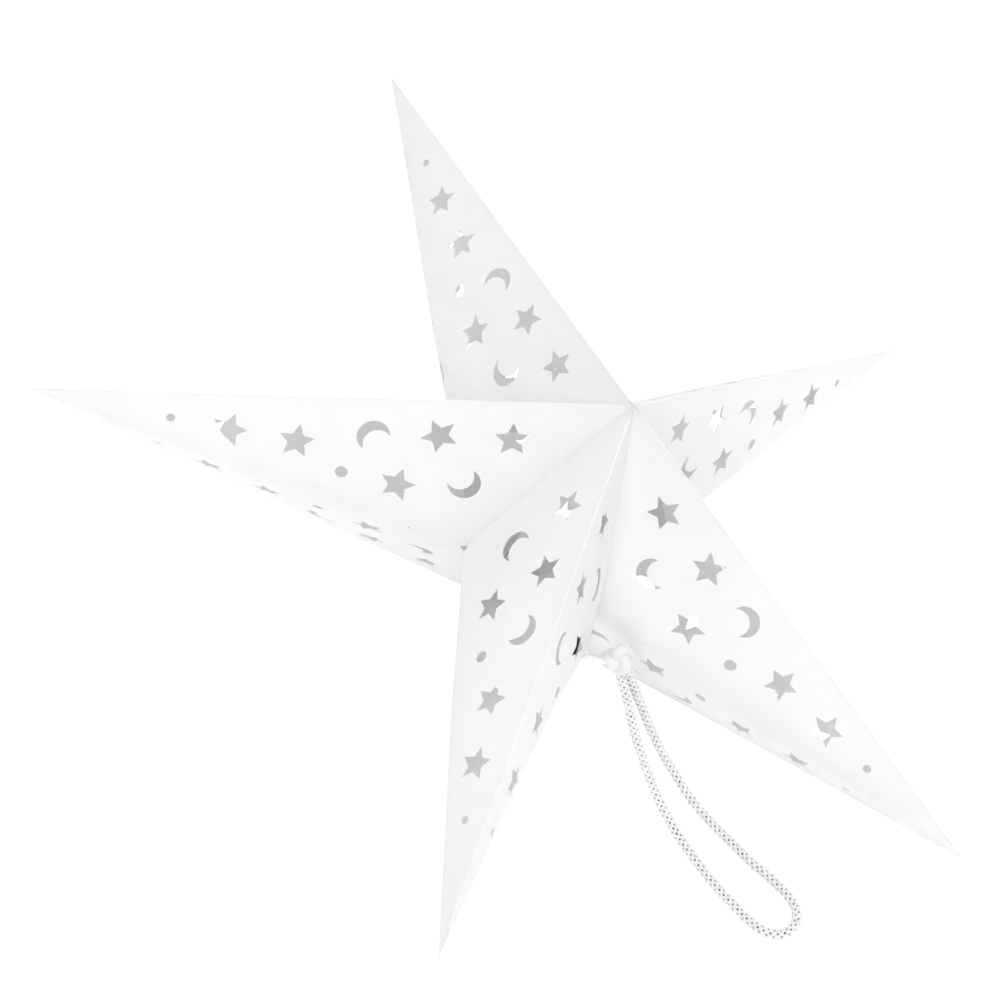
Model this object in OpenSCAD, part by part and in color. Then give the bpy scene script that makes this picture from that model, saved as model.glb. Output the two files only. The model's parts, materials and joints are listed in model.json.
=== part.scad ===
// Folding paper star lantern: five hollow folded-card arms on one fan-fold axis,
// lying on two tips and its back apex, with a braided hanging loop tied at the open seam.

/* [Star] */
// Radius from the star's axis to an arm's tip
star_r = 150; // [130:5:200]
// Half of the star's depth, from the middle plane to an apex
apex_h = 50; // [44:1:56]
// Radius at the bottom of each valley between two arms
valley_r = 34.5; // [32:0.5:38]
// Thickness of the card
card_t = 0.45; // [0.4:0.05:0.7]
// Gap between two neighbouring arms' glued flaps
flap_gap = 0.3; // [0.3:0.1:0.6]
// Width of the glue flap folded inwards along each valley
flap_w = 7; // [5:0.5:9]

/* [Cut-outs] */
// Tip radius of a star cut-out
star_hole_r = 5.15; // [4:0.05:5.5]
// Inner radius of a star cut-out as a share of its tip radius
star_hole_inner = 0.47; // [0.4:0.01:0.6]
// Outer radius of a moon cut-out
moon_r = 4.45; // [4:0.05:4.8]
// Radius of the disc that bites into the moon
moon_bite_r = 3.8; // [3.6:0.1:4.2]
// How far the bite sits from the moon's centre
moon_bite_off = 2.35; // [2:0.05:3]
// Radius of the dot nearest the tip
small_dot_r = 1.2; // [1:0.1:1.6]
// Radius of the dot in the second row
large_dot_r = 1.75; // [1.2:0.05:2]
// Radius of the punched cord hole near each valley
cord_hole_r = 1.7; // [1.6:0.1:2]
// Distance of the cord hole from the bottom of the valley
cord_hole_d = 16.5; // [15:0.5:19]

/* [Hanging cord] */
// Diameter of the braided cord
cord_d = 3.2; // [2.8:0.1:3.6]
// Diameter of the flattened cord ends that go in through the seam hole
tail_d = 2.4; // [1.6:0.1:2.6]
// Diameter of the stop button inside arm 4
stop_d = 8; // [6:0.5:9]
// Thickness of the stop button
stop_t = 1.6; // [1.2:0.1:2.4]

/* [Hidden] */
$fn = 48;

arm_count = 5;
// Place in the lists below of arm 4, which holds the cord
seam_arm = 3;
// Turn of each arm about the star's axis; the seam pulls arms 3 and 4 together
arm_turn = [110, 36.5, -36.5, -104, 180];
// How far each tip sits off the middle plane, as the folded card settles
tip_lift = [4, 3.5, 3.5, -1, -5];
// Arms in order round the star, from one side of the seam to the other
fan_order = [3, 2, 1, 5, 4];

// The star leans back until tips 2 and 3 and the back apex stand on one level
lean = atan((apex_h + tip_lift[1]) / (star_r * cos(arm_turn[1])));

// Points of the star, about its own centre, with +Z along its axis
function tip(i) = [star_r * cos(arm_turn[i]), star_r * sin(arm_turn[i]), tip_lift[i]];
function valley(turn) = [valley_r * cos(turn), valley_r * sin(turn), 0];
apex = [0, 0, apex_h];

// The same points once the star leans and stands on the ground plane
function leant(p) = [p.x * cos(lean) + p.z * sin(lean), p.y,
                     p.z * cos(lean) - p.x * sin(lean)];
base_mid = [(leant(tip(1)).x + leant(tip(4)).x) / 2, (leant(tip(0)).y + leant(tip(3)).y) / 2];
rest_shift = [-base_mid.x, -base_mid.y, apex_h * cos(lean)];
function placed(p) = leant(p) + rest_shift;

// Turn of the valley on either side of an arm, side 1 being anticlockwise
function fan_place(i) = search(i + 1, fan_order)[0];
function near_turn(i, side) =
    let (other = fan_order[(fan_place(i) + side + arm_count) % arm_count] - 1,
         gap = (arm_turn[other] - arm_turn[i]) * side)
    arm_turn[i] + side * (gap - 360 * floor(gap / 360)) / 2;

// Pulls a point back towards the tip, so that neighbouring arms keep their gap
function eased(p, t) = p + (t - p) * flap_gap / norm(t - p);

function unit(v) = v / norm(v);
// Rigid placement with its origin at o, +X towards a, and b on the +Y side
function plane_frame(o, a, b) =
    let (u = unit(a - o), n = unit(cross(u, b - o)), v = cross(n, u))
    [[u.x, v.x, n.x, o.x], [u.y, v.y, n.y, o.y], [u.z, v.z, n.z, o.z], [0, 0, 0, 1]];
// A point seen in that placement's own plane
function in_plane(o, a, b, p) =
    let (u = unit(a - o), n = unit(cross(u, b - o)), v = cross(n, u))
    [(p - o) * u, (p - o) * v];

// Cut-outs of one half panel: kind, distance from the tip along the ridge,
// distance from the ridge, and turn
cut_outs = [
    ["small_dot", 37.4, 7.2, 0], ["star", 53, 10.2, 0], ["star", 71.2, 12.8, -9],
    ["moon", 91.5, 10.8, 60], ["star", 108.8, 10.4, 27], ["star", 128, 11.3, -17],
    ["large_dot", 83.2, 21.5, 0], ["star", 98, 25, 2], ["moon", 115.6, 24.5, -120]];

// Card runs a little past its folds and is then trimmed to the arm's wedge
lap = 0.3;
trim = 5;
skin_out = 1;
// The folded layers close on each other at the very tip
tip_fill_r = 5;

module star_hole() {
    polygon([for (k = [0:9])
        let (r = k % 2 == 0 ? star_hole_r : star_hole_r * star_hole_inner)
        r * [cos(36 * k), sin(36 * k)]]);
}

module moon_hole() {
    difference() {
        circle(r = moon_r);
        translate([moon_bite_off, 0]) circle(r = moon_bite_r);
    }
}

module cut_out(kind) {
    if (kind == "star") star_hole();
    if (kind == "moon") moon_hole();
    if (kind == "small_dot") circle(r = small_dot_r);
    if (kind == "large_dot") circle(r = large_dot_r);
}

// A sheet of card in its own plane, with its thickness on the inside
module card(inside) {
    translate([0, 0, inside > 0 ? -skin_out : -card_t]) linear_extrude(card_t + skin_out) children();
}

// One flat half panel between the ridge, the mid crease and the valley
module half_panel(t, a, v, inside) {
    corner = in_plane(t, a, v, v);
    along = unit(corner);
    across = [-along.y, along.x];
    multmatrix(plane_frame(t, a, v)) card(inside)
        difference() {
            polygon([[-lap, -lap], [norm(a - t) + trim, -lap],
                     along * (norm(corner) + trim) + across * lap, across * lap - along * lap]);
            for (c = cut_outs) translate([c[1], c[2]]) rotate(c[3]) cut_out(c[0]);
        }
}

// Glue flap: a chevron of card in the valley's own plane, open at the star's axis
module valley_flap(front, back, v, inside) {
    axis_gap = 4;
    half = norm(back - front) / 2;
    reach = in_plane(front, back, v, v).y;
    outer = reach + lap;
    inner = reach - flap_w * norm([half, reach]) / half;
    function edge(to, side) = half + side * (to - axis_gap) * half / reach;
    multmatrix(plane_frame(front, back, v)) card(inside)
        polygon([[edge(outer, -1), axis_gap], [half, outer], [edge(outer, 1), axis_gap],
                 [edge(inner, 1), axis_gap], [half, inner], [edge(inner, -1), axis_gap]]);
}

// Punched hole for a cord, across the mid crease of one side
function hole_spot(t, v) = v + unit(t - v) * cord_hole_d;
function hole_way(t, a, b, v) = unit(unit(cross(b - t, v - t)) - unit(cross(a - t, v - t)));
module cord_hole(t, a, b, v) {
    spot = hole_spot(t, v);
    multmatrix(plane_frame(spot, spot + hole_way(t, a, b, v), t)) rotate([0, 90, 0])
        rotate(25) cylinder(r = cord_hole_r, h = 8, center = true);
}

// Space that an arm's card may fill: its own wedge of the star
module arm_wedge(t, front, back, left, right) {
    polyhedron([t, front, back, left, right],
               [[0, 1, 3], [0, 3, 2], [0, 2, 4], [0, 4, 1], [1, 2, 3], [1, 4, 2]]);
}

module star_arm(i) {
    t = tip(i);
    front = eased(apex, t);
    back = eased(-apex, t);
    left = eased(valley(near_turn(i, 1)), t);
    right = eased(valley(near_turn(i, -1)), t);
    color("white") translate(rest_shift) rotate([0, lean, 0])
        difference() {
            intersection() {
                union() {
                    half_panel(t, front, left, 1);
                    half_panel(t, back, left, -1);
                    half_panel(t, front, right, -1);
                    half_panel(t, back, right, 1);
                    valley_flap(front, back, left, -1);
                    valley_flap(front, back, right, 1);
                    translate(t) sphere(r = tip_fill_r);
                }
                arm_wedge(t, front, back, left, right);
            }
            if (i == seam_arm) cord_hole(t, front, back, left);
        }
}

// Hole in arm 4's side at the seam, which the cord goes in through
seam_t = tip(seam_arm);
seam_v = eased(valley(near_turn(seam_arm, 1)), seam_t);
seam_hole = placed(hole_spot(seam_t, seam_v));
seam_out = leant(hole_way(seam_t, eased(apex, seam_t), eased(-apex, seam_t), seam_v));
// Ways out through arm 4's front half panel there, towards its tip, and along the star's axis
seam_face = leant(-unit(cross(eased(apex, seam_t) - seam_t, seam_v - seam_t)));
seam_along = leant(unit(seam_t - seam_v));
seam_up = leant([0, 0, 1]);

// Knot: a lump of tied cord just outside the seam, as the round hull of three turns
knot_turns = [[29.5, -47.5, 40, 3.8], [32.5, -45.5, 41.5, 3.2], [25.5, -49, 40.5, 3.2]];
module cord_knot() {
    color("ghostwhite") hull()
        for (k = knot_turns) translate([k[0], k[1], k[2]]) sphere(r = k[3], $fn = 24);
}

// Smooth points along a route, with steps of them to each of its stretches
function on_curve(route, k, s) =
    let (last = len(route) - 1, p = route[max(k - 1, 0)], q = route[k],
         r = route[min(k + 1, last)], t = route[min(k + 2, last)])
    q + s * (r - p) / 2 + s * s * (2 * p - 5 * q + 4 * r - t) / 2
      + s * s * s * (3 * q - p - 3 * r + t) / 2;
function smooth_line(route, steps) =
    [for (k = [0:len(route) - 2], s = [0:steps - 1]) on_curve(route, k, s / steps),
     route[len(route) - 1]];

// Closed tube swept along a line of points, its rings kept level
module swept_tube(line, d) {
    sides = 8;
    last = len(line) - 1;
    function ring(k) =
        let (way = unit(line[min(k + 1, last)] - line[max(k - 1, 0)]),
             flat = unit(cross(way, [0, 0, 1])), up = cross(flat, way))
        [for (j = [0:sides - 1]) let (a = 360 * (j + 0.5) / sides)
            line[k] + d / 2 * (cos(a) * flat + sin(a) * up)];
    polyhedron([for (k = [0:last]) each ring(k)],
               [[for (j = [0:sides - 1]) j], [for (j = [sides - 1:-1:0]) last * sides + j],
                for (k = [0:last - 1], j = [0:sides - 1])
                    let (b = k * sides, n = (j + 1) % sides)
                    each [[b + j, b + sides + j, b + sides + n], [b + j, b + sides + n, b + n]]]);
}

// Flattened cord ends, from the knot through the seam hole to the stop inside
// The stop has slid in from the hole, toward the tip and up, against the front of the card
stop_in = 3.9;
stop_tipward = 2;
stop_rise = 5;
stop_mid = seam_hole - seam_out * stop_in + seam_along * stop_tipward + seam_up * stop_rise;
// How far the cord's ends run straight on each side of the hole
tail_out = 2;
tail_in = 2.6;
tail_route = [[27.5, -48.5, 40.5], [24, -48.5, 41.5], seam_hole + seam_out * tail_out,
              seam_hole, seam_hole - seam_out * tail_in, stop_mid];
module cord_tails() {
    color("ghostwhite") swept_tube(smooth_line(tail_route, 3), tail_d);
}

// Dark button that keeps the cord from pulling out, flat against the front half panel
module cord_stop() {
    color("black") multmatrix(plane_frame(stop_mid, stop_mid + seam_face, stop_mid + [0, 0, 1]))
        rotate([0, 90, 0]) cylinder(d = stop_d, h = stop_t, center = true);
}

// Route of the hanging loop, from the knot down to the ground, round and back
cord_route = [
    [30.5, -48.5, 37.5], [32, -51.5, 32.5], [33.5, -55, 26.5], [35.5, -59, 19], [38, -63, 12],
    [40.5, -67.5, 6.5], [43.5, -73, 3], [47, -80, 1.7], [51, -87, 1.6], [55.5, -94, 1.6],
    [60, -100, 1.6], [64.5, -105.5, 1.6], [69, -109, 1.6], [73.5, -109.5, 1.6], [77, -106.5, 1.6],
    [77.5, -102, 1.6], [75.5, -98, 1.6], [71.5, -93, 1.6], [66.5, -88, 1.6], [62, -82.5, 1.6],
    [57.5, -77, 1.6], [53, -71, 1.7], [49.5, -66, 3], [46, -61.5, 6.5], [42.5, -58, 12],
    [39, -54.5, 19.5], [36, -51, 27.5], [33.5, -48.5, 35.5]];

module hanging_cord() {
    color("ghostwhite") swept_tube(smooth_line(cord_route, 2), cord_d);
}

for (i = [0:arm_count - 1])
    star_arm(i);
cord_knot();
cord_tails();
cord_stop();
hanging_cord();
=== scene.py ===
import json
import math
import bpy
import bmesh
from mathutils import Matrix, Vector, noise


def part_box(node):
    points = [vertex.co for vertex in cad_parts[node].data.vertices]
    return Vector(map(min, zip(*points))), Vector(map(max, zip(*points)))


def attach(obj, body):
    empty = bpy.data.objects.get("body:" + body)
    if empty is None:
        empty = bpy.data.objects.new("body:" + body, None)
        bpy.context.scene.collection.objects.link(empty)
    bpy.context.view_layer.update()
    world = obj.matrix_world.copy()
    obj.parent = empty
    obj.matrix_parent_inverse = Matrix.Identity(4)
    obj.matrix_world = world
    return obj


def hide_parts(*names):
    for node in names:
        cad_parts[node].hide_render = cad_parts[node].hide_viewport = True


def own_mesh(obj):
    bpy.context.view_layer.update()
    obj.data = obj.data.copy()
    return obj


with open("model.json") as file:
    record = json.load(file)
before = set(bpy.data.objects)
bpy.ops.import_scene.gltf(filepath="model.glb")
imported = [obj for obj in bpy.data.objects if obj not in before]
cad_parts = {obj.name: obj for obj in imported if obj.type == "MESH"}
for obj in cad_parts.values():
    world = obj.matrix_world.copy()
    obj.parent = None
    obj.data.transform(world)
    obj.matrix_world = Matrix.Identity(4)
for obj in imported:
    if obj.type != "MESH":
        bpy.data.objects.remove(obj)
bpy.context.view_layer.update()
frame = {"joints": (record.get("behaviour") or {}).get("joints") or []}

print("stage: frame loaded")

# the star's own frame: its axis is Z and arm 5 points along -X
foldJoint = next(j for j in frame["joints"] if j["name"] == "arm_5_fold")
starCentre = Vector(foldJoint["pos_m"])
starAxis = Vector(foldJoint["axis"]).normalized()
downhill = Vector((0, 1, 0)).cross(starAxis).normalized()
starToRow = Matrix((downhill, (0, 1, 0), starAxis)).transposed().to_4x4()
starToRow.translation = starCentre


cameraSpec = {
    "location": (-0.0174, -0.4396, 0.6832),
    "aim": (-0.0014, 0.0009, 0.050),
    "lens": 99.7,
    "sensor": 36,
    "roll": 1.05,
}


def addCamera(spec):
    data = bpy.data.cameras.new("starCamera")
    data.lens = spec["lens"]
    data.sensor_width = spec["sensor"]
    data.clip_start = 0.01
    camera = bpy.data.objects.new("starCamera", data)
    look = Vector(spec["aim"]) - Vector(spec["location"])
    turn = look.to_track_quat("-Z", "Y").to_matrix() @ Matrix.Rotation(math.radians(spec["roll"]), 3, "Z")
    camera.matrix_world = Matrix.Translation(spec["location"]) @ turn.to_4x4()
    bpy.context.scene.collection.objects.link(camera)
    bpy.context.scene.camera = camera


addCamera(cameraSpec)
print("stage: camera placed")


def linkMesh(name, bm, materials):
    mesh = bpy.data.meshes.new(name)
    bm.to_mesh(mesh)
    bm.free()
    for material in materials:
        mesh.materials.append(material)
    piece = bpy.data.objects.new(name, mesh)
    bpy.context.scene.collection.objects.link(piece)
    return piece


def applyModifiers(piece):
    depsgraph = bpy.context.evaluated_depsgraph_get()
    finished = bpy.data.meshes.new_from_object(piece.evaluated_get(depsgraph))
    finished.name = piece.name
    piece.modifiers.clear()
    piece.data = finished


def smoothShade(piece, degrees):
    piece.data.shade_smooth()
    piece.data.set_sharp_from_angle(angle=math.radians(degrees))


def blendValue(low, high, x):
    t = min(max((x - low) / (high - low), 0), 1)
    return t * t * (3 - 2 * t)


class Wire:
    # a node's output, which can be added, subtracted and multiplied
    def __init__(self, finish, socket):
        self.finish = finish
        self.socket = socket

    def sum(self, how, first, second):
        return self.finish.node("ShaderNodeMath", {"operation": how}, {0: first, 1: second})

    def __add__(self, other):
        return self.sum("ADD", self, other)

    def __radd__(self, other):
        return self.sum("ADD", other, self)

    def __sub__(self, other):
        return self.sum("SUBTRACT", self, other)

    def __rsub__(self, other):
        return self.sum("SUBTRACT", other, self)

    def __mul__(self, other):
        return self.sum("MULTIPLY", self, other)

    def __rmul__(self, other):
        return self.sum("MULTIPLY", other, self)


class Finish:
    # one material and the nodes that make it
    def __init__(self, name):
        self.material = bpy.data.materials.new(name)
        self.material.use_nodes = True
        self.tree = self.material.node_tree
        self.shader = self.tree.nodes["Principled BSDF"]

    def node(self, kind, settings, values, out=0):
        made = self.tree.nodes.new(kind)
        for key, value in settings.items():
            setattr(made, key, value)
        for key, value in values.items():
            if isinstance(value, Wire):
                self.tree.links.new(value.socket, made.inputs[key])
            else:
                made.inputs[key].default_value = value
        return Wire(self, made.outputs[out])

    def set(self, **values):
        for key, value in values.items():
            socket = self.shader.inputs[key.replace("_", " ")]
            if isinstance(value, Wire):
                self.tree.links.new(value.socket, socket)
            else:
                socket.default_value = value

    def mixColour(self, share, first, second):
        return self.node("ShaderNodeMix", {"data_type": "RGBA"}, {0: share, 6: first, 7: second}, out=2)

    def step(self, value, low, high):
        return self.node("ShaderNodeMapRange", {"interpolation_type": "SMOOTHSTEP"},
                         {0: value, 1: low, 2: high, 3: 0.0, 4: 1.0})

    def speckle(self, place, scale, detail, roughness=0.5):
        return self.node("ShaderNodeTexNoise", {}, {"Vector": place, "Scale": scale, "Detail": detail,
                                                    "Roughness": roughness}, out="Fac")


paperSpec = {
    "white": (0.885, 0.885, 0.885, 1),
    "shade": (0.866, 0.866, 0.866, 1),
    "foldWhite": (0.898, 0.898, 0.898, 1),
    "roughness": 0.62,
    "lightThrough": 0.36,
    "fibreScale": 900,
    "pulpScale": 160,
    "cloudScale": 22,
    "crack": (0.0001, 0.0009),   # distances from a ridge between which its cracked coating fades
    "unevenGloss": 0.12,
    "bump": 0.05,
    "bumpDepth": 0.0004,
}


def paperFinish(spec):
    paper = Finish("whiteCard")
    place = paper.node("ShaderNodeTexCoord", {}, {}, out="Object")
    sheet = paper.node("ShaderNodeUVMap", {"uv_map": "cardLayout"}, {})
    flat = paper.node("ShaderNodeSeparateXYZ", {}, {0: sheet}, out="Y")
    fibre = paper.speckle(place, spec["fibreScale"], 4, 0.6)
    pulp = paper.speckle(place, spec["pulpScale"], 3)
    cloud = paper.speckle(place, spec["cloudScale"], 2)
    tone = paper.mixColour(paper.step(pulp * 0.5 + cloud * 0.5, 0.35, 0.65), spec["shade"], spec["white"])
    foldEdge = 1 - paper.step(flat, *spec["crack"])
    colour = paper.mixColour(foldEdge * paper.step(fibre, 0.4, 0.6), tone, spec["foldWhite"])
    height = fibre * 0.6 + pulp * 0.4
    normal = paper.node("ShaderNodeBump", {}, {"Strength": spec["bump"], "Distance": spec["bumpDepth"],
                                              "Height": height}, out="Normal")
    paper.set(Base_Color=colour, Normal=normal, Specular_IOR_Level=0.25,
              Roughness=spec["roughness"] + spec["unevenGloss"] * (pulp - 0.5))
    glow = paper.node("ShaderNodeBsdfTranslucent", {}, {"Color": spec["white"]})
    body = Wire(paper, paper.shader.outputs[0])
    surface = paper.node("ShaderNodeMixShader", {}, {0: spec["lightThrough"], 1: body, 2: glow})
    paper.tree.links.new(surface.socket, paper.tree.nodes["Material Output"].inputs["Surface"])
    return paper.material


yarnSpec = {
    "light": (0.85, 0.85, 0.845, 1),
    # painted shade in the grooves between the filaments
    "dark": (0.62, 0.63, 0.64, 1),
    "roughness": 0.55,
    "filaments": 14,
    "bump": 0.5,
    "bumpDepth": 0.00006,
}
# the knot's braid: a darker copy of the loop's yarn, painted shade over the whole knot; its finer, smoother
# threads are the braid pulled tight
knotYarnSpec = {
    "light": (0.70, 0.70, 0.695, 1),
    # painted shade in the grooves between the filaments
    "dark": (0.60, 0.605, 0.61, 1),
    "roughness": 0.6,
    "filaments": 30,
    "bump": 0.25,
    "bumpDepth": 0.00006,
}


def yarnFinish(name, spec):
    # the piece's own UV runs along each strand in x and round it in y
    yarn = Finish(name)
    layout = yarn.node("ShaderNodeUVMap", {"uv_map": "strandLayout"}, {})
    around = yarn.node("ShaderNodeSeparateXYZ", {}, {0: layout}, out="Y")
    along = yarn.node("ShaderNodeSeparateXYZ", {}, {0: layout}, out="X")
    drift = yarn.speckle(layout, 6, 2)
    groove = yarn.node("ShaderNodeMath", {"operation": "SINE"},
                       {0: (around + drift * 0.12 + along * 0.05) * (2 * math.pi * spec["filaments"])})
    thread = yarn.step(groove, -0.9, 0.9)
    fuzz = yarn.speckle(layout, 40, 3)
    # painted shade: the yarn is darker in the grooves between its filaments, mixed with random fuzz tone
    colour = yarn.mixColour(thread * 0.75 + fuzz * 0.25, spec["dark"], spec["light"])
    normal = yarn.node("ShaderNodeBump", {}, {"Strength": spec["bump"], "Distance": spec["bumpDepth"],
                                             "Height": thread}, out="Normal")
    yarn.set(Base_Color=colour, Normal=normal, Specular_IOR_Level=0.4,
             Roughness=spec["roughness"] + 0.2 * (fuzz - 0.5))
    return yarn.material


stopFinishSpec = {
    "dark": (0.012, 0.012, 0.013, 1),
    "light": (0.022, 0.022, 0.023, 1),
    "grainScale": 1500,
    "roughness": 0.5,
    "bump": 0.15,
    "bumpDepth": 0.0001,
}


def stopFinish(spec):
    stop = Finish("blackStop")
    place = stop.node("ShaderNodeTexCoord", {}, {}, out="Object")
    grain = stop.speckle(place, spec["grainScale"], 3)
    colour = stop.mixColour(grain, spec["dark"], spec["light"])
    normal = stop.node("ShaderNodeBump", {}, {"Strength": spec["bump"], "Distance": spec["bumpDepth"],
                                             "Height": grain}, out="Normal")
    stop.set(Base_Color=colour, Normal=normal, Roughness=spec["roughness"] + 0.2 * (grain - 0.5))
    return stop.material


shadeSpec = {
    "dark": (0.03, 0.03, 0.03, 1),
    "light": (0.10, 0.10, 0.10, 1),
    "grainScale": 900,
    "roughness": 0.9,
}


def shadeFinish(spec):
    # a near-black tube inside the braid: painted shade for its hollow, seen in the gaps between its strands
    shade = Finish("braidShade")
    place = shade.node("ShaderNodeTexCoord", {}, {}, out="Object")
    grain = shade.speckle(place, spec["grainScale"], 2)
    shade.set(Base_Color=shade.mixColour(grain, spec["dark"], spec["light"]), Roughness=spec["roughness"])
    return shade.material


whiteCard = paperFinish(paperSpec)
whiteBraid = yarnFinish("whiteBraid", yarnSpec)
# the knot's finish is painted darker than the loop's, as painted shade
tightBraidPaintedShade = yarnFinish("tightBraidPaintedShade", knotYarnSpec)
blackStop = stopFinish(stopFinishSpec)
braidShade = shadeFinish(shadeSpec)
print("stage: finishes made")


def smoothLine(route, spacing):
    # an even line of points along one smooth curve through the route
    fine = []
    stepsEach = 24
    last = len(route) - 1
    for k in range(last):
        p, q = route[max(k - 1, 0)], route[k]
        r, t = route[k + 1], route[min(k + 2, last)]
        for s in (i / stepsEach for i in range(stepsEach)):
            fine.append(q + (r - p) * (s / 2) + (2 * p - 5 * q + 4 * r - t) * (s * s / 2)
                        + (3 * q - p - 3 * r + t) * (s * s * s / 2))
    fine.append(route[last])
    total = sum((b - a).length for a, b in zip(fine, fine[1:]))
    count = max(round(total / spacing), 2)
    even, walked, target = [fine[0]], 0, total / count
    for a, b in zip(fine, fine[1:]):
        gap = (b - a).length
        while gap > 0 and walked + gap >= target - 1e-12 and len(even) < count:
            even.append(a.lerp(b, (target - walked) / gap))
            target += total / count
        walked += gap
    even.append(fine[-1])
    return even, total


def carriedFrames(line):
    # two cross directions at each point, carried along without twist
    ways = [(line[min(k + 1, len(line) - 1)] - line[max(k - 1, 0)]).normalized() for k in range(len(line))]
    side = ways[0].orthogonal().normalized()
    frames = []
    for way in ways:
        side = (side - way * side.dot(way)).normalized()
        frames.append((side, way.cross(side)))
    return frames


braidSpec = {
    "strandsEachWay": 4,
    "lay": 0.0074,          # length of one full turn of a strand
    "seat": 0.00108,        # mean distance of a strand's middle from the cord's own
    "rise": 0.00020,        # how far a strand climbs over and dips under
    "halfWidth": 0.00043,
    "halfThickness": 0.00033,
    "uneven": 0.3,
    "unevenScale": 900,
    # radius of the near-black tube inside the strands, painted shade for the braid's hollow
    "shadeCore": 0.00062,
    "shadeCoreSides": 10,
    "ringSides": 8,
    "spacing": 0.00036,
}
cordSpec = {
    "diameter": 0.0032,
    # the loop's line from the knot down to the ground, round and back, in millimetres
    "route": [
        (30.2, -46.9, 40.6), (30.5, -48.3, 37.6), (32, -51.5, 32.5), (33.5, -55, 26.5), (35.5, -59, 19),
        (38, -63, 12), (40.5, -67.5, 6.5), (43.5, -73, 3), (47, -80, 1.7), (51, -87, 1.6), (55.5, -94, 1.6),
        (60, -100, 1.6), (64.5, -105.5, 1.6), (69, -109, 1.6), (73.5, -109.5, 1.6), (77, -106.5, 1.6),
        (77.5, -102, 1.6), (75.5, -98, 1.6), (71.5, -93, 1.6), (66.5, -88, 1.6), (62, -82.5, 1.6),
        (57.5, -77, 1.6), (53, -71, 1.7), (49.5, -66, 3), (46, -61.5, 6.5), (42.5, -58, 12),
        (39, -54.5, 19.5), (36, -51, 27.5), (33.2, -48.3, 35.5), (31.2, -46.4, 40.1)],
}
knotSpec = {
    "middle": (0.0299, -0.0460, 0.0409),
    "scale": 0.00105,
    "cord": 0.0018,
    "narrow": 0.85,
    "squeeze": 1.2,
    "points": 120,
    "sides": 16,
    "spacing": 0.0003,
    "lumps": 0.05,
    "lumpScale": 500,
    "facing": (-0.02, -0.57, 0.82),
    "spin": 25,
}
tailSpec = {
    "route": [(28.0, -47.0, 41.4), (25.4, -47.3, 42.1), (22.2, -46.6, 43.0), (20.0, -45.9, 43.3),
              (18.9, -45.6, 43.35), (16.9, -43.4, 43.8)],
    "halfWidth": 0.00085,
    "halfThickness": 0.00042,
    "apart": 0.0005,
    "sides": 14,
    "spacing": 0.0002,
    "sway": 0.0006,
    "twist": (0.5, 1.6),      # of each end, steady and wandering, in radians
    "wrinkle": 0.5,
    "wrinkleScale": 1100,
}
stopSpec = {
    "diameter": 0.008,
    "thickness": 0.0016,
    "facing": (0.9329, -0.3565, 0.0515),
    "nearer": 0.0011,         # out to the swollen card, from where flat card would hold it
    "edge": 0.0004,
    "rimShare": 0.16,         # of the diameter, the raised rim's width
    "dishShare": 0.16,        # of the thickness, how deep the middle is dished
    "segments": 48,
}


def addTube(bm, places, material=0, reach=1.0):
    # a closed tube through rings of places, from one flat grid rolled up and welded along its seam;
    # reach is its length in centimetres, for the pattern laid along it
    rings, sides = len(places), len(places[0])
    grid = bmesh.ops.create_grid(bm, x_segments=sides, y_segments=rings - 1, size=1)["verts"]
    uvLayer = bm.loops.layers.uv.get("strandLayout") or bm.loops.layers.uv.new("strandLayout")
    faces = {face for vert in grid for face in vert.link_faces}
    for face in faces:
        face.material_index = material
        face.smooth = True
        for loop in face.loops:
            flat = loop.vert.co
            loop[uvLayer].uv = ((flat.y + 1) / 2 * reach, (flat.x + 1) / 2)
    for vert in grid:
        column = round((vert.co.x + 1) / 2 * sides) % sides
        row = round((vert.co.y + 1) / 2 * (rings - 1))
        vert.co = places[row][column]
    edge = list({v for v in grid if v.is_boundary})
    bmesh.ops.remove_doubles(bm, verts=edge, dist=1e-7)
    ends = [e for v in edge if v.is_valid for e in v.link_edges if e.is_boundary]
    caps = bmesh.ops.holes_fill(bm, edges=list(set(ends)), sides=0)["faces"]
    for face in caps:
        face.material_index = material


def addBraid(bm, line, spec):
    # strands wound both ways over and under one another round a smooth line
    frames = carriedFrames(line)
    step = (line[1] - line[0]).length
    each = spec["strandsEachWay"]
    sides = spec["ringSides"]
    wind = 2 * math.pi / spec["lay"]
    last = len(line) - 1
    for hand in (1, -1):
        for strand in range(each):
            centres, outs = [], []
            for k, (point, (side, up)) in enumerate(zip(line, frames)):
                turn = hand * wind * k * step + 2 * math.pi * strand / each
                out = side * math.cos(turn) + up * math.sin(turn)
                over = math.cos(each * wind * k * step)
                seat = spec["seat"] + hand * spec["rise"] * over
                centres.append(point + out * seat)
                outs.append(out)
            places = []
            for k, (centre, out) in enumerate(zip(centres, outs)):
                way = (centres[min(k + 1, last)] - centres[max(k - 1, 0)]).normalized()
                across = way.cross(out).normalized()
                high = across.cross(way)
                full = spec["halfWidth"] * (1 + spec["uneven"] * noise.noise(centre * spec["unevenScale"]))
                places.append([centre + across * (math.cos(2 * math.pi * j / sides) * full)
                               + high * (math.sin(2 * math.pi * j / sides) * spec["halfThickness"])
                               for j in range(sides)])
            addTube(bm, places, reach=last * step * 100)


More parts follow.
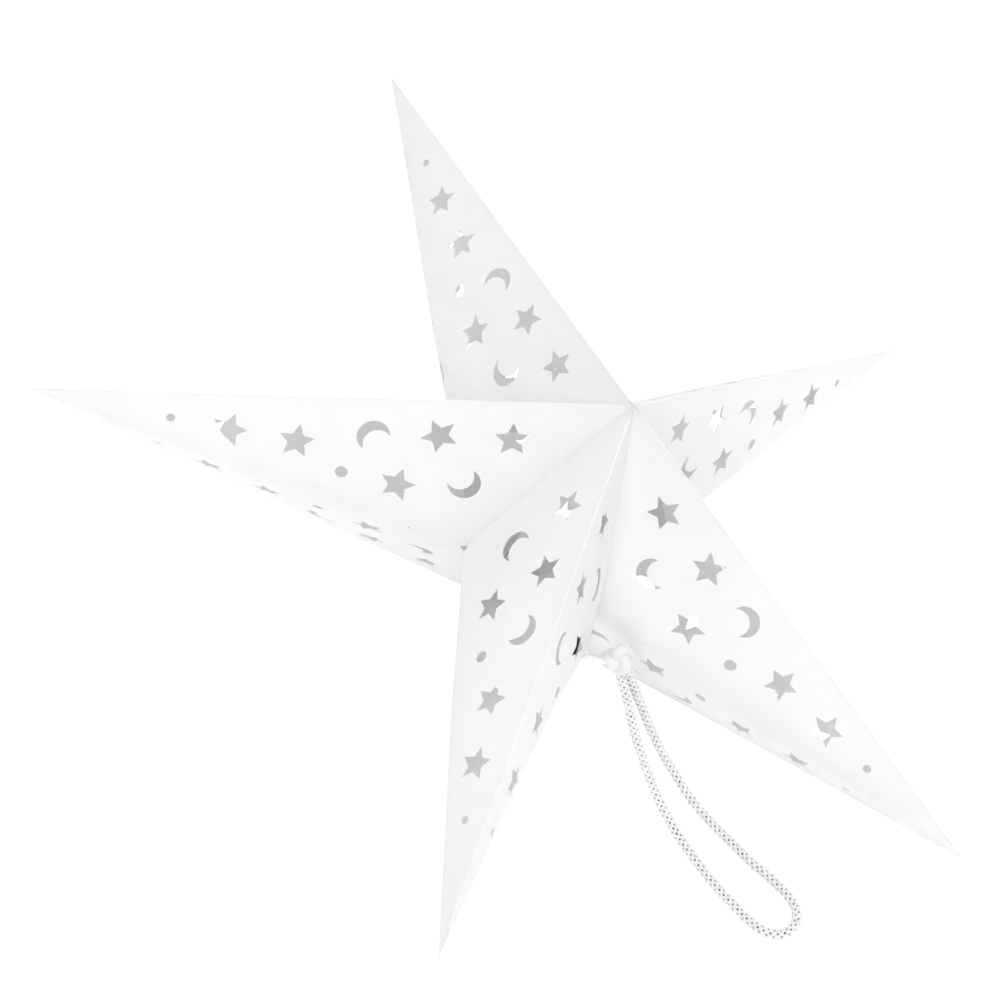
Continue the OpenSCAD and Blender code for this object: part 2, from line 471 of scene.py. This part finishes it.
def makeCord():
    line, length = smoothLine([Vector(p) / 1000 for p in cordSpec["route"]], braidSpec["spacing"])
    bm = bmesh.new()
    addBraid(bm, line, braidSpec)
    frames = carriedFrames(line)
    # the near-black tube inside the strands, painted shade for the braid's hollow
    shadeCore = [[point + (side * math.cos(a) + up * math.sin(a)) * braidSpec["shadeCore"]
             for a in (2 * math.pi * j / braidSpec["shadeCoreSides"] for j in range(braidSpec["shadeCoreSides"]))]
            for point, (side, up) in zip(line, frames)]
    addTube(bm, shadeCore[::2], material=1)
    bmesh.ops.recalc_face_normals(bm, faces=bm.faces[:])
    cord = linkMesh("hangingLoop", bm, [whiteBraid, braidShade])
    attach(cord, "arm_4")
    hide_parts("hanging_cord")
    return cord, line, length


def makeKnot(spec):
    # the cord pulled tight through its own loop, a trefoil with its braid closed up and smooth
    turns = [2 * math.pi * k / spec["points"] for k in range(spec["points"] + 1)]
    loop = [Vector((math.sin(t) + 2 * math.sin(2 * t), (math.cos(t) - 2 * math.cos(2 * t)) * spec["narrow"],
                    -math.sin(3 * t) * spec["squeeze"])) * spec["scale"] for t in turns]
    tilt = Vector(spec["facing"]).to_track_quat("Z", "Y").to_matrix() @ Matrix.Rotation(
        math.radians(spec["spin"]), 3, "Z")
    line, length = smoothLine([Vector(spec["middle"]) + tilt @ p for p in loop], spec["spacing"])
    frames = carriedFrames(line)
    places = []
    for point, (side, up) in zip(line, frames):
        ring = []
        for j in range(spec["sides"]):
            a = 2 * math.pi * j / spec["sides"]
            out = (side * math.cos(a) + up * math.sin(a)) * spec["cord"]
            ring.append(point + out * (1 + spec["lumps"] * noise.noise((point + out) * spec["lumpScale"])))
        places.append(ring)
    bm = bmesh.new()
    addTube(bm, places, reach=length * 100)
    bmesh.ops.recalc_face_normals(bm, faces=bm.faces[:])
    knot = linkMesh("loopKnot", bm, [tightBraidPaintedShade])
    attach(knot, "arm_4")
    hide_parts("cord_knot")
    return knot


def makeTails(spec):
    # two flattened, crumpled ends of the cord, side by side through the punched hole
    line, length = smoothLine([Vector(p) / 1000 for p in spec["route"]], spec["spacing"])
    frames = carriedFrames(line)
    steady, wandering = spec["twist"]
    bm = bmesh.new()
    for hand in (1, -1):
        places = []
        for k, (point, (side, up)) in enumerate(zip(line, frames)):
            share = k / (len(line) - 1)
            sway = noise.noise(Vector((share * 5, hand * 7, 0))) * spec["sway"]
            middle = point + up * (hand * spec["apart"] + sway) + side * sway * 0.6
            twist = hand * steady + wandering * noise.noise(Vector((share * 3, 0, hand * 5)))
            wide = side * math.cos(twist) + up * math.sin(twist)
            thin = up * math.cos(twist) - side * math.sin(twist)
            ring = []
            for j in range(spec["sides"]):
                a = 2 * math.pi * j / spec["sides"]
                across = wide * math.cos(a) * spec["halfWidth"] + thin * math.sin(a) * spec["halfThickness"]
                spot = (middle + across) * spec["wrinkleScale"] + Vector((hand, 0, 0))
                crumple = 1 + spec["wrinkle"] * noise.noise(spot)
                ring.append(middle + across * crumple)
            places.append(ring)
        addTube(bm, places, reach=length * 100)
    bmesh.ops.recalc_face_normals(bm, faces=bm.faces[:])
    tails = linkMesh("cordEnds", bm, [whiteBraid])
    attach(tails, "arm_4")
    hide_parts("cord_tails")


def makeStop(spec):
    low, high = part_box("cord_stop")
    facing = Vector(spec["facing"]).normalized()
    middle = (low + high) / 2 + facing * spec["nearer"]
    bm = bmesh.new()
    radius = spec["diameter"] / 2
    bmesh.ops.create_cone(bm, cap_ends=True, segments=spec["segments"], radius1=radius, radius2=radius,
                          depth=spec["thickness"])
    for face in bm.faces:
        face.smooth = True
    caps = [f for f in bm.faces if len(f.verts) > 4]
    bmesh.ops.inset_region(bm, faces=caps, thickness=spec["diameter"] * spec["rimShare"],
                           use_even_offset=True)
    bmesh.ops.inset_region(bm, faces=caps, thickness=spec["edge"] * 0.6,
                           depth=-spec["thickness"] * spec["dishShare"])
    squareCorner = 0.9
    rims = [e for e in bm.edges if len(e.link_faces) == 2 and e.calc_face_angle(0) > squareCorner
            and all(abs(v.co.to_2d().length - radius) < 1e-5 for v in e.verts)]
    bmesh.ops.bevel(bm, geom=rims, offset=spec["edge"], offset_type="OFFSET", segments=3, profile=0.5,
                    affect="EDGES", material=-1)
    turn = facing.to_track_quat("Z", "Y").to_matrix().to_4x4()
    bmesh.ops.transform(bm, matrix=Matrix.Translation(middle) @ turn, verts=bm.verts[:])
    bmesh.ops.recalc_face_normals(bm, faces=bm.faces[:])
    stop = linkMesh("cordStop", bm, [blackStop])
    smoothShade(stop, 40)
    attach(stop, "arm_4")
    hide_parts("cord_stop")


cord, cordLine, cordLength = makeCord()
knot = makeKnot(knotSpec)
makeTails(tailSpec)
makeStop(stopSpec)
print("stage: cord, knot, ends and stop made")


starSpec = {
    "reach": 0.150,           # star's axis to an arm's tip
    "apexHeight": 0.050,
    "valleyReach": 0.0345,
    "turns": {"arm_1": 110, "arm_2": 36.5, "arm_3": -36.5, "arm_4": -104, "arm_5": 180},
    "openSides": [("arm_4", 1), ("arm_3", -1)],   # the seam's two sides, the cord's own first
    "lifts": {"arm_1": 0.004, "arm_2": 0.0035, "arm_3": 0.0035, "arm_4": -0.001, "arm_5": -0.005},
    "roundness": 0.379,       # of the side's swell well away from the star's middle
    "flatter": {("arm_2", 1): 0.2},
    "creaseRoundness": 0.12,  # and at the valley, where the score holds it sharper
    "rays": 88,
    "cardThickness": 0.0003,
    "flapWidth": 0.007,
    "starRadius": 0.00515,
    "starInner": 0.47,
    "starBlunt": 0.07,        # share of each point's sides cut off at its tip
    "moonRadius": 0.00445,
    "moonBite": 0.0038,
    "moonShift": 0.00235,
    "moonBlunt": 0.10,        # how far short of their meeting the outer arc stops, in radians
    "biteBlunt": 0.06,        # and the inner arc
    "moonSteps": (26, 20),    # of the outer arc and of the inner one
    "smallDot": 0.0012,
    "largeDot": 0.00175,
    "cordHole": 0.0017,
    "pinMark": 0.00032,
    "cordHoleFromValley": 0.0165,
    "tug": 0.0017,
    "tugReach": 0.016,
    "tugWay": (0.15, 1, 0),
    "tugHeld": 0.93,          # share of the way down the side where the valley starts to hold it
    "swellFrom": 0.55,        # share of the way down a side where its swell starts to ease off
    "tipWidth": 0.0008,
    "flapGap": 0.00016,       # between a glue flap and the valley's own plane
    "flapFromAxis": 0.0012,
    "reliefAlong": 0.0016,
    "reliefAcross": 0.0009,
    "crossCuts": 0.008,
    "foldAngle": 24,
    "foldedShare": 0.04,
}
# kind, distance from the tip along the ridge, distance from the ridge, turn in degrees
cutOuts = [
    ("smallDot", 0.0374, 0.0072, 0), ("star", 0.0530, 0.0102, 0), ("star", 0.0712, 0.0128, -9),
    ("moon", 0.0915, 0.0108, 60), ("star", 0.1088, 0.0104, 27), ("star", 0.1280, 0.0113, -17),
    ("largeDot", 0.0832, 0.0215, 0), ("star", 0.0980, 0.0250, 2), ("moon", 0.1156, 0.0245, -120),
]


def cutOutline(kind, spec):
    # the outline of one cut-out about its own middle
    if kind == "star":
        corners = [Vector((math.cos(k * math.pi / 5), math.sin(k * math.pi / 5)))
                   * spec["starRadius"] * (1 if k % 2 == 0 else spec["starInner"]) for k in range(10)]
        outline = []
        for k, corner in enumerate(corners):
            before, after = corners[k - 1], corners[(k + 1) % 10]
            if k % 2:
                outline.append(corner)
            else:
                outline += [corner.lerp(before, spec["starBlunt"]), corner.lerp(after, spec["starBlunt"])]
        return outline
    if kind == "moon":
        radius, bite, shift = spec["moonRadius"], spec["moonBite"], spec["moonShift"]
        meetX = (radius ** 2 - bite ** 2 + shift ** 2) / (2 * shift)
        outerTurn = math.acos(meetX / radius) + spec["moonBlunt"]
        biteTurn = math.acos((meetX - shift) / bite) + spec["biteBlunt"]
        outerSteps, innerSteps = spec["moonSteps"]
        outer = [outerTurn + (2 * math.pi - 2 * outerTurn) * k / outerSteps for k in range(outerSteps + 1)]
        inner = [2 * math.pi - biteTurn - (2 * math.pi - 2 * biteTurn) * k / innerSteps
                 for k in range(innerSteps + 1)]
        return ([Vector((math.cos(a), math.sin(a))) * radius for a in outer]
                + [Vector((shift, 0)) + Vector((math.cos(a), math.sin(a))) * bite for a in inner])
    return [Vector((math.cos(k * math.pi / 10), math.sin(k * math.pi / 10))) * spec[kind] for k in range(20)]


class Side:
    # one side of an arm: its shape in the star, and the flat card it is cut from
    def __init__(self, name, hand, halfGap, spec):
        self.spec = spec
        self.hand = hand
        self.seam = (name, hand) in spec["openSides"]
        self.holdsCord = (name, hand) == spec["openSides"][0]
        roundness = spec["flatter"].get((name, hand), spec["roundness"])
        self.halfGap = halfGap
        self.tip = Vector((spec["reach"], 0, spec["lifts"][name]))
        valleyX = spec["valleyReach"] * math.cos(halfGap)
        valleyY = spec["valleyReach"] * math.sin(halfGap)
        self.swell = valleyY / (spec["reach"] - valleyX)
        count = spec["rays"]
        self.places = [1 - 2 * k / count for k in range(count + 1)]
        self.sharp = [self.valleyPoint(s, spec["creaseRoundness"]) for s in self.places]
        self.round = [self.valleyPoint(s, roundness) for s in self.places]
        self.lengths = [(p - self.tip).length for p in self.sharp]
        rays = [(p - self.tip).normalized() for p in self.round]
        self.angles = [0]
        for a, b in zip(rays, rays[1:]):
            self.angles.append(self.angles[-1] + a.angle(b))
        self.spread = self.angles[-1]

    def valleyPoint(self, s, roundness):
        top = math.sqrt(1 + roundness ** 2)
        wide = self.swell * (top - math.sqrt(s * s + roundness ** 2)) / (top - roundness)
        slope = math.tan(self.halfGap)
        x = self.spec["reach"] * wide / (wide + slope)
        high = self.spec["apexHeight"] / self.spec["reach"] * s
        return Vector((x, x * slope, self.spec["reach"] * slope * high / (wide + slope)))

    def between(self, values, angle):
        at = min(max(angle, 0), self.spread)
        low, high = 0, len(self.angles) - 1
        while high - low > 1:
            k = (low + high) // 2
            if self.angles[k] <= at:
                low = k
            else:
                high = k
        share = (at - self.angles[low]) / (self.angles[high] - self.angles[low])
        first, second = values[low], values[high]
        return first + (second - first) * share

    def flatPlace(self, angle, length):
        return Vector((length * math.cos(angle), length * math.sin(angle), 0))

    def bent(self, flat):
        # a point of the flat card, moved to where it sits in the star
        length = math.hypot(flat.x, flat.y)
        angle = math.atan2(flat.y, flat.x)
        share = length / self.between(self.lengths, angle)
        easing = 1 - blendValue(self.spec["swellFrom"], 1.0, share)
        edge = self.between(self.sharp, angle).lerp(self.between(self.round, angle), easing)
        place = self.tip + (edge - self.tip) * share
        if self.holdsCord:
            # the tied cord pulls the card out round its hole
            hole = self.between(self.lengths, self.spread / 2) - self.spec["cordHoleFromValley"]
            apart = (flat - self.flatPlace(self.spread / 2, hole)).length / self.spec["tugReach"]
            hold = 1 - blendValue(self.spec["tugHeld"], 1.0, share)
            pull = self.spec["tug"] * math.exp(-apart * apart) * hold
            place = place + Vector(self.spec["tugWay"]) * pull
        return Vector((place.x, place.y * self.hand, place.z))

    def onValley(self, flat):
        # whether a point of the flat card is on the edge that meets the next arm
        edge = self.between(self.lengths, math.atan2(flat.y, flat.x))
        return abs(flat.length - edge) < 2e-6

    def cardPlace(self, flat):
        # distance along the nearer ridge and from it
        length = math.hypot(flat.x, flat.y)
        angle = math.atan2(flat.y, flat.x)
        if angle > self.spread / 2:
            angle = self.spread - angle
        return length * math.cos(angle), length * math.sin(angle)


def loopOfEdges(bm, places):
    verts = [bm.verts.new(place) for place in places]
    return [bm.edges.new((verts[k - 1], verts[k])) for k in range(len(verts))]


def addSide(bm, side, spec):
    flat = bmesh.new()
    middle = side.spread / 2
    outline = []
    for a, length in zip(side.angles, side.lengths):
        aside = abs(a - middle) * length
        if side.seam or aside > spec["reliefAcross"]:
            outline.append(side.flatPlace(a, length))
        elif aside < spec["reliefAcross"] * 0.5:
            outline.append(side.flatPlace(a, length - spec["reliefAlong"]))
    outline += [side.flatPlace(side.spread, spec["tipWidth"]), side.flatPlace(0, spec["tipWidth"])]
    edges = loopOfEdges(flat, outline)
    for kind, along, away, turn in cutOuts:
        shape = cutOutline(kind, spec)
        spun = Matrix.Rotation(math.radians(turn), 2)
        for half in (0, 1):
            hole = []
            for corner in shape:
                place = Vector((along, away)) + spun @ corner
                if half:
                    length, angle = place.length, side.spread - math.atan2(place.y, place.x)
                    place = Vector((length * math.cos(angle), length * math.sin(angle)))
                hole.append(place.to_3d())
            edges += loopOfEdges(flat, hole)
    cordAt = side.between(side.lengths, middle) - spec["cordHoleFromValley"]
    centre = side.flatPlace(middle, cordAt)
    punched = spec["cordHole"] if side.holdsCord else spec["pinMark"]
    edges += loopOfEdges(flat, [centre + Vector((math.cos(a), math.sin(a), 0)) * punched
                                for a in (k * math.pi / 12 for k in range(24))])
    bmesh.ops.triangle_fill(flat, use_beauty=True, use_dissolve=False, edges=edges)
    for angle in side.angles[1:-1:2]:
        everything = flat.verts[:] + flat.edges[:] + flat.faces[:]
        bmesh.ops.bisect_plane(flat, geom=everything, dist=1e-7, plane_co=(0, 0, 0),
                               plane_no=(-math.sin(angle), math.cos(angle), 0))
    reach = max(side.lengths)
    cut = spec["crossCuts"]
    while cut < reach:
        everything = flat.verts[:] + flat.edges[:] + flat.faces[:]
        bmesh.ops.bisect_plane(flat, geom=everything, dist=1e-7,
                               plane_co=(cut * math.cos(middle), cut * math.sin(middle), 0),
                               plane_no=(math.cos(middle), math.sin(middle), 0))
        cut += spec["crossCuts"]
    uvLayer = flat.loops.layers.uv.new("cardLayout")
    for face in flat.faces:
        for loop in face.loops:
            loop[uvLayer].uv = side.cardPlace(loop.vert.co)
    rim = [e for e in flat.edges if e.is_boundary and all(side.onValley(v.co) for v in e.verts)]
    for vert in flat.verts:
        vert.co = side.bent(vert.co)
    # glue flap: the valley's edge turned in across the star, in the valley's own plane
    inward = Vector((-math.cos(side.halfGap), -math.sin(side.halfGap) * side.hand, 0))
    away = Vector((math.sin(side.halfGap), -math.cos(side.halfGap) * side.hand, 0))
    grown = bmesh.ops.extrude_edge_only(flat, edges=rim)["geom"]
    for vert in (g for g in grown if isinstance(g, bmesh.types.BMVert)):
        fromAxis = math.hypot(vert.co.x, vert.co.y)
        width = min(spec["flapWidth"], max(fromAxis - spec["flapFromAxis"], 0) * 0.75)
        vert.co += inward * width + away * spec["flapGap"]
    spare = bpy.data.meshes.new("side")
    flat.to_mesh(spare)
    flat.free()
    bm.from_mesh(spare)
    bpy.data.meshes.remove(spare)


def makeArm(name, spec):
    turns = spec["turns"]
    turn = turns[name]
    gaps = [((turn - other) % 360, (other - turn) % 360) for key, other in turns.items() if key != name]
    below = min(g[0] for g in gaps)
    above = min(g[1] for g in gaps)
    bm = bmesh.new()
    for hand, gap in ((1, above), (-1, below)):
        addSide(bm, Side(name, hand, math.radians(gap / 2), spec), spec)
    bmesh.ops.remove_doubles(bm, verts=bm.verts[:], dist=5e-6)
    bmesh.ops.recalc_face_normals(bm, faces=bm.faces[:])
    middle = Vector((spec["reach"] * 0.5, 0, 0))
    outward = sum(1 if f.normal.dot(f.calc_center_median() - middle) > 0 else -1 for f in bm.faces)
    if outward < 0:
        bmesh.ops.reverse_faces(bm, faces=bm.faces[:])
    toRow = starToRow @ Matrix.Rotation(math.radians(turn), 4, "Z")
    bmesh.ops.transform(bm, matrix=toRow, verts=bm.verts[:])
    arm = linkMesh("paper" + name.title().replace("_", ""), bm, [whiteCard])
    thicken = arm.modifiers.new("card", "SOLIDIFY")
    thicken.thickness = spec["cardThickness"]
    thicken.offset = -1
    thicken.use_even_offset = False
    applyModifiers(arm)
    smoothShade(arm, spec["foldAngle"])
    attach(arm, name)
    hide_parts(name)
    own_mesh(arm)


for armName in starSpec["turns"]:
    makeArm(armName, starSpec)
print("stage: arms made")


stageSpec = {
    "floor": 6.0,
    "floorTones": ((0.90, 0.90, 0.90, 1), (0.88, 0.88, 0.88, 1)),
    "floorGlow": 0.38,
    "world": 0.33,
    "lightSize": 0.9,
    # place and strength of each soft light
    "lights": [
        ((-0.3, -1.0, 1.4), 7.6), ((-1.5, -0.2, 0.8), 5.6), ((1.4, -0.4, 0.9), 11.4),
        ((0, 0.2, 1.8), 13.2), ((0.2, 1.4, 0.9), 9.0), ((-0.2, -1.6, 0.45), 4.7),
    ],
}


def makeStage(spec):
    bm = bmesh.new()
    bmesh.ops.create_grid(bm, x_segments=1, y_segments=1, size=spec["floor"])
    finish = Finish("paleFloor")
    place = finish.node("ShaderNodeTexCoord", {}, {}, out="Object")
    light, dark = spec["floorTones"]
    finish.set(Base_Color=finish.mixColour(finish.speckle(place, 3, 2), dark, light), Roughness=0.9)
    finish.set(Specular_IOR_Level=0.1, Emission_Color=(1, 1, 1, 1), Emission_Strength=spec["floorGlow"])
    floor = linkMesh("paleFloor", bm, [finish.material])
    world = bpy.data.worlds.new("studio")
    world.use_nodes = True
    world.node_tree.nodes["Background"].inputs["Color"].default_value = (1, 1, 1, 1)
    world.node_tree.nodes["Background"].inputs["Strength"].default_value = spec["world"]
    bpy.context.scene.world = world
    for k, (location, power) in enumerate(spec["lights"]):
        data = bpy.data.lights.new(f"softLight{k + 1}", "AREA")
        data.shape = "DISK"
        data.size = spec["lightSize"]
        data.energy = power
        light = bpy.data.objects.new(data.name, data)
        look = starCentre - Vector(location)
        turn = look.to_track_quat("-Z", "Y").to_matrix().to_4x4()
        light.matrix_world = Matrix.Translation(location) @ turn
        bpy.context.scene.collection.objects.link(light)


makeStage(stageSpec)
bpy.context.scene.view_settings.view_transform = "Standard"
bpy.context.scene.cycles.max_bounces = 24
bpy.context.scene.cycles.diffuse_bounces = 16
print("stage: floor and light set")
